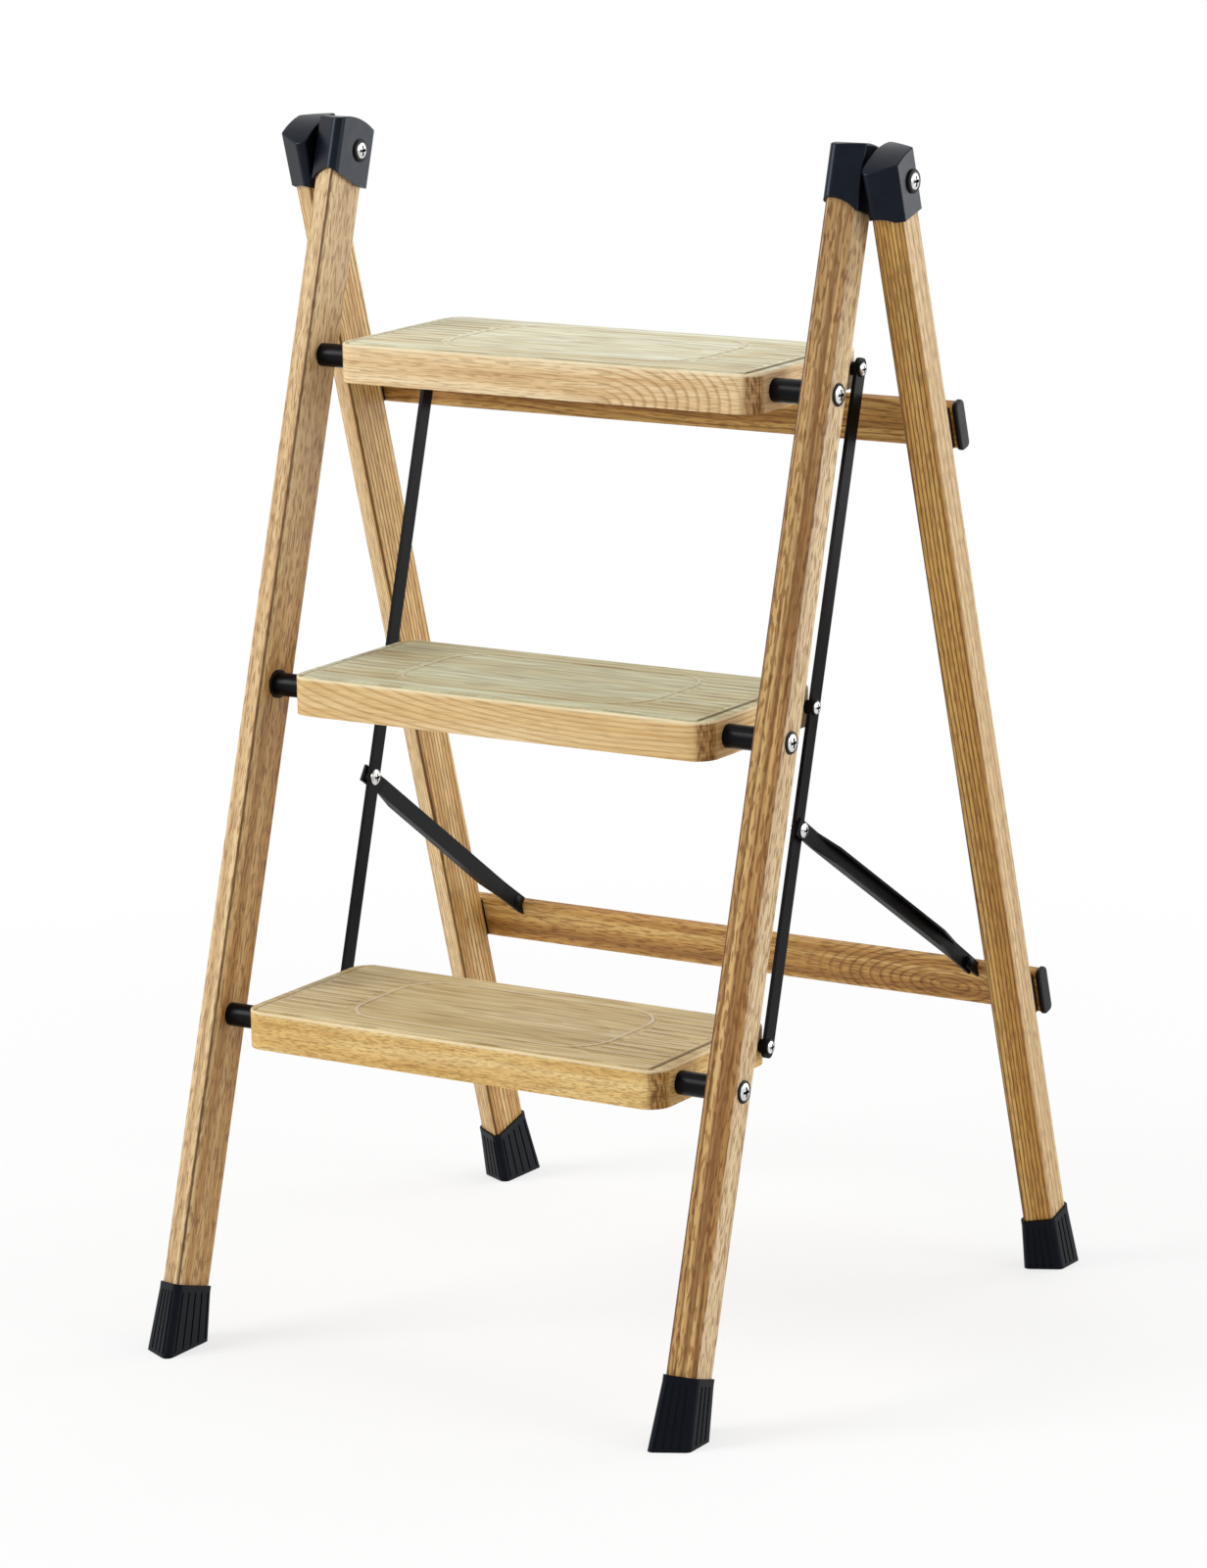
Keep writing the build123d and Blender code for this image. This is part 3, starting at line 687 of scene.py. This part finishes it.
# Skins of the stiles and legs: the face painted paler as lit and the share of that painted light, and the
# shares of heart streak and of painted light on the upper part
member_looks = {
    "front_stile_right": {
        "lean": stile_lean,
        "tones": brown_oak,
        "seed": 2.0,
        "grain": fine_lined_grain,
        "painted_light_facing": outer_right,
        "painted_light_share": 0.65,
        "heart_share": 0.85,
        "painted_top_light_share": 0.15,
    },
    "rear_leg_right": {
        "lean": leg_lean,
        "tones": gold_oak,
        "seed": 5.0,
        "grain": lined_grain,
        "painted_light_facing": outer_right,
        "painted_light_share": 0.5,
        "heart_share": 0.0,
        "painted_top_light_share": 0.0,
    },
    "front_stile_left": {
        "lean": stile_lean,
        "tones": pale_oak,
        "seed": 11.0,
        "grain": flecked_grain,
        "painted_light_facing": front_left,
        "painted_light_share": 0.3,
        "heart_share": 0.0,
        "painted_top_light_share": 0.5,
    },
    "rear_leg_left": {
        "lean": leg_lean,
        "tones": honey_oak,
        "seed": 16.0,
        "grain": lined_grain,
        "painted_light_facing": front_left,
        "painted_light_share": 0.3,
        "heart_share": 0.0,
        "painted_top_light_share": 0.0,
    },
}
skins = {name: member_skin(name, **look) for name, look in member_looks.items()}
skins["upper_rail"] = rail_skin("upper_rail", rail_grain, seed=9.0)
skins["lower_rail"] = rail_skin("lower_rail", arched_rail_grain, seed=21.0)
skins["step_pan_bottom"] = step_skin("step_pan_bottom", gold_skirt, warm_tread, speckled_skirt, seed=1.3)
skins["step_pan_middle"] = step_skin("step_pan_middle", tan_skirt, green_tread, flamed_skirt, seed=4.1)
skins["step_pan_top"] = step_skin("step_pan_top", beige_skirt, pale_tread, arched_skirt, seed=7.7)

# Finishes of the black pieces, by material slot
black_looks = {
    "saddle_plastic": {"tone": srgb(20, 19, 18), "roughness": 0.6, "specular": 0.2},
    "cap_plastic": {
        "tone": srgb(6, 9, 16),
        "roughness": 0.3,
        "specular": 0.2,
        "leather": 0.2,
        "sheen": cool_white,
    },
    "boot_rubber": {
        "tone": srgb(4, 5, 8),
        "roughness": 0.38,
        "specular": 0.13,
        "leather": 0.2,
        "sheen": cool_white,
    },
    "plug_plastic": {"tone": srgb(8, 9, 10), "roughness": 0.42, "specular": 0.18},
    "spacer_plastic": {"tone": srgb(5, 6, 9), "roughness": 0.32, "specular": 0.1},
    "washer_plastic": {"tone": srgb(8, 9, 11), "roughness": 0.45, "specular": 0.18},
    "black_steel": {"tone": srgb(7, 8, 10), "roughness": 0.36, "specular": 0.07, "leather": 0.12},
}
finishes = {slot: moulded(slot, **look) for slot, look in black_looks.items()}
finishes["zinc"] = bright_zinc("zinc")

# Screws whose heads have a cross recess, shown as painted shade, single ones by side and pairs by step
single_screws = ("hinge_barrel", "hinge_screw", "strut_screw", "strut_nut")
paired_screws = ("pivot_screws", "link_screws")
crossed_screws = [f"{screw}_{side}" for screw in single_screws for side in sides]
crossed_screws += [f"{screws}_{level}" for screws in paired_screws for level in levels]
for name in crossed_screws:
    skins[name] = screw_zinc(name)

slots = {entry["node"]: entry["material_slot"] for entry in frame["record"]["subparts"]}
for name, node in frame["nodes"].items():
    finish = skins.get(name) or finishes[slots[name]]
    for index in range(len(node.data.materials)):
        node.data.materials[index] = finish

# Faces that meet at a wider angle than this, in degrees, keep a crisp edge
crisp_angle = 40


def mesh_object(name, mesh, finish):
    """Object of one bmesh, with its finish."""
    data = bpy.data.meshes.new(name)
    mesh.to_mesh(data)
    mesh.free()
    data.materials.append(finish)
    made = bpy.data.objects.new(name, data)
    bpy.context.collection.objects.link(made)
    return made


def add_piece(name, mesh, body, finish):
    """Piece that rides on a body, with rounded faces smooth and edges crisp."""
    piece = mesh_object(name, mesh, finish)
    piece.data.shade_smooth()
    piece.data.set_sharp_from_angle(angle=radians(crisp_angle))
    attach(piece, body)


# Faces of the pressed pattern that look up at least this squarely are the ridges' tops
looks_up = 0.9


def oval_edge(y):
    """Half width of the oval at a distance from its middle line."""
    past = max(abs(y) - (oval_half_y - oval_corner), 0.0)
    return oval_half_x - oval_corner + (oval_corner**2 - past**2) ** 0.5


def add_oval(mesh, middle):
    """Thin flat ring with rounded corners in the middle of a tread."""
    corners = bmesh.ops.create_grid(mesh, x_segments=1, y_segments=1, size=1.0)["verts"]
    bmesh.ops.scale(mesh, vec=(oval_half_x, oval_half_y, 1.0), verts=corners)
    bmesh.ops.translate(mesh, vec=middle, verts=corners)
    bmesh.ops.bevel(
        mesh,
        geom=corners,
        offset=oval_corner,
        segments=oval_corner_facets,
        profile=0.5,
        affect="VERTICES",
        material=-1,
    )
    inside = mesh.faces[:]
    ring = bmesh.ops.inset_region(
        mesh, faces=inside, thickness=ridge_width, use_even_offset=True, use_boundary=True
    )["faces"]
    bmesh.ops.delete(mesh, geom=inside, context="FACES_ONLY")
    raised = bmesh.ops.extrude_face_region(mesh, geom=ring)["geom"]
    raised_verts = [item for item in raised if isinstance(item, bmesh.types.BMVert)]
    bmesh.ops.translate(mesh, vec=(0, 0, ridge_sunk), verts=raised_verts)
    bmesh.ops.recalc_face_normals(mesh, faces=mesh.faces[:])


def add_ribs(mesh, middle, rib_end):
    """Thin flat bars from the oval to the rims at both ends of a tread."""
    for number in range(-ribs_each_side, ribs_each_side + 1):
        y = number * rib_pitch
        start = oval_edge(y) + rib_gap
        for side in (-1, 1):
            place = middle + Vector((side * (start + rib_end) / 2, y, ridge_sunk / 2))
            size = Vector((rib_end - start, ridge_width, ridge_sunk))
            bmesh.ops.create_cube(mesh, size=1.0, matrix=Matrix.LocRotScale(place, None, size))


def pressed_pattern(level):
    """Low ridges with sloping flanks, pressed up out of one tread."""
    pan = "step_pan_" + level
    low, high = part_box(pan)
    middle = Vector((0.0, (low[1] + high[1]) / 2, high[2] - ridge_sunk))
    mesh = bmesh.new()
    add_oval(mesh, middle)
    add_ribs(mesh, middle, high[0] - rim_width - rib_gap)
    tops = [face for face in mesh.faces if face.normal.z > looks_up]
    bmesh.ops.inset_region(
        mesh, faces=tops, thickness=ridge_flank, depth=ridge_height, use_even_offset=True, use_boundary=True
    )
    add_piece("tread_pattern_" + level, mesh, "step_" + level, skins[pan])


# Black collars round the screw heads, in metres: inner and outer radius, and rise from their seat
pivot_collar = (0.0058, 0.0081, 0.0014)
hinge_collar = (0.0046, 0.0084, 0.0017)
link_collar = (0.0036, 0.0057, 0.0012)

# Seats of the collars, in metres from the middle of the ladder
stile_face = 0.2246
link_face = 0.18165
hinge_outer_seat = 0.25605
hinge_inner_seat = 0.2018

# Ways in which a collar rises from its seat
outwards = 1
inwards = -1

# Outline of a collar in shares of its rise: height, and how far it draws in from the outer radius or
# stands out from the inner one
collar_outside = ((0.0, 0.0), (0.5, 0.0), (0.85, 0.35), (1.0, 1.0))
collar_inside = ((1.0, 0.2), (0.8, 0.0), (0.0, 0.0))
collar_facets = 40
weld_distance = 1e-6


def collars(name, heads, body, seat, outward, collar):
    """A pair of black collars, left and right, turned about the line of the screws."""
    inner, outer, rise = collar
    low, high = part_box(heads)
    y = (low[1] + high[1]) / 2
    z = (low[2] + high[2]) / 2
    outline = [(height * rise, outer - inset * rise) for height, inset in collar_outside]
    outline += [(height * rise, inner + inset * rise) for height, inset in collar_inside]
    mesh = bmesh.new()
    for side in (-1, 1):
        points = []
        for height, radius in outline:
            points.append(mesh.verts.new((side * (seat + outward * height), y, z + radius)))
        edges = [mesh.edges.new((points[index - 1], point)) for index, point in enumerate(points)]
        bmesh.ops.spin(
            mesh,
            geom=points + edges,
            cent=(0, y, z),
            axis=(1, 0, 0),
            angle=2 * pi,
            steps=collar_facets,
            use_merge=True,
        )
    bmesh.ops.remove_doubles(mesh, verts=mesh.verts[:], dist=weld_distance)
    bmesh.ops.recalc_face_normals(mesh, faces=mesh.faces[:])
    add_piece(name, mesh, body, finishes["washer_plastic"])


for level in levels:
    pressed_pattern(level)
    heads = "pivot_screws_" + level
    collars("pivot_collars_" + level, heads, "front_frame", stile_face, outwards, pivot_collar)
    heads = "link_screws_" + level
    collars("link_collars_" + level, heads, "step_" + level, link_face, outwards, link_collar)
heads = "hinge_barrel_right"
collars("hinge_outer_collars", heads, "front_frame", hinge_outer_seat, outwards, hinge_collar)
heads = "hinge_screw_right"
collars("hinge_inner_collars", heads, "front_frame", hinge_inner_seat, inwards, hinge_collar)


def seen_rays(tree):
    """1 for rays from the camera, from gloss and through glass, 0 for the rays that light the ladder."""
    path = tree.nodes.new("ShaderNodeLightPath")
    total = path.outputs["Is Camera Ray"]
    for name in ("Is Glossy Ray", "Is Transmission Ray"):
        larger = tree.nodes.new("ShaderNodeMath")
        larger.operation = "MAXIMUM"
        tree.links.new(total, larger.inputs[0])
        tree.links.new(path.outputs[name], larger.inputs[1])
        total = larger.outputs[0]
    return total


# Floor, in metres: white to the eye, with a faint shadow under the ladder
floor_size = 14.0
floor_white_share = 0.7
floor_fade = (0.5, 1.5)
floor_roughness = 0.9
floor_specular = 0.0


def floor_finish():
    """Pale floor that turns plain white away from the ladder."""
    nodes = FinishNodes("floor_white")
    nodes.coat({
        "Base Color": floor_grey,
        "Roughness": floor_roughness,
        "Specular IOR Level": floor_specular,
    })
    glow = nodes.add("ShaderNodeEmission")
    far = nodes.band(nodes.length(nodes.coordinates), *floor_fade)
    share = nodes.math("MULTIPLY_ADD", far, 1 - floor_white_share, floor_white_share)
    blend = nodes.add("ShaderNodeMixShader")
    nodes.feed(nodes.product(share, seen_rays(nodes.tree)), blend.inputs["Fac"])
    nodes.feed(nodes.shader.outputs["BSDF"], blend.inputs[1])
    nodes.feed(glow.outputs["Emission"], blend.inputs[2])
    nodes.feed(blend.outputs["Shader"], nodes.tree.nodes["Material Output"].inputs["Surface"])
    return nodes.material


floor_mesh = bmesh.new()
bmesh.ops.create_grid(floor_mesh, x_segments=1, y_segments=1, size=floor_size / 2)
floor = mesh_object("floor", floor_mesh, floor_finish())

# Soft lights, in metres and watts, aimed at the middle of the ladder
ladder_middle = (0, 0, 0.42)
lights = {
    "key": {"place": (-2.2, -2.3, 2.4), "size": 1.6, "power": 78},
    "side": {"place": (3.0, 0.4, 1.6), "size": 1.6, "power": 24},
    "rim": {"place": (1.9, 2.9, 1.1), "size": 2.0, "power": 34},
    "top": {"place": (0.2, 0.9, 3.2), "size": 2.2, "power": 22},
}


def area_light(name, place, size, power):
    """Square soft light aimed at the middle of the ladder."""
    data = bpy.data.lights.new(name, "AREA")
    data.size = size
    data.energy = power
    light = bpy.data.objects.new(name, data)
    light.location = place
    direction = Vector(ladder_middle) - Vector(place)
    light.rotation_euler = direction.to_track_quat("-Z", "Y").to_euler()
    bpy.context.collection.objects.link(light)


for name, settings in lights.items():
    area_light(name, **settings)

# World: soft fill on the ladder, plain white to the eye
world_fill = 0.46
world_white = 1.0
world = bpy.data.worlds.new("studio")
bpy.context.scene.world = world
world.use_nodes = True
tree = world.node_tree
fill = tree.nodes["Background"]
fill.inputs["Color"].default_value = white
fill.inputs["Strength"].default_value = world_fill
seen = tree.nodes.new("ShaderNodeBackground")
seen.inputs["Color"].default_value = white
seen.inputs["Strength"].default_value = world_white
choice = tree.nodes.new("ShaderNodeMixShader")
tree.links.new(seen_rays(tree), choice.inputs["Fac"])
tree.links.new(fill.outputs["Background"], choice.inputs[1])
tree.links.new(seen.outputs["Background"], choice.inputs[2])
tree.links.new(choice.outputs["Shader"], tree.nodes["World Output"].inputs["Surface"])

# Camera of the photo: place in metres, angles in degrees, lens and sensor in millimetres
camera_place = (2.1814, -3.4144, 1.3068)
camera_azimuth = 32.50
camera_pitch = 12.76
camera_roll = -1.05
camera_sensor = 36.0
camera_lens = 132.47

azimuth = radians(camera_azimuth)
pitch = radians(camera_pitch)
roll = radians(camera_roll)
forward = Vector((-sin(azimuth) * cos(pitch), cos(azimuth) * cos(pitch), -sin(pitch)))
right = Vector((cos(azimuth), sin(azimuth), 0))
up = right.cross(forward)
right_rolled = cos(roll) * right + sin(roll) * up
up_rolled = -sin(roll) * right + cos(roll) * up
camera_data = bpy.data.cameras.new("photo_camera")
camera_data.sensor_fit = "VERTICAL"
camera_data.sensor_height = camera_sensor
camera_data.lens = camera_lens
camera = bpy.data.objects.new("photo_camera", camera_data)
camera.matrix_world = Matrix((right_rolled, up_rolled, -forward)).transposed().to_4x4()
camera.location = camera_place
bpy.context.collection.objects.link(camera)
bpy.context.scene.camera = camera
bpy.context.scene.view_settings.view_transform = "Standard"
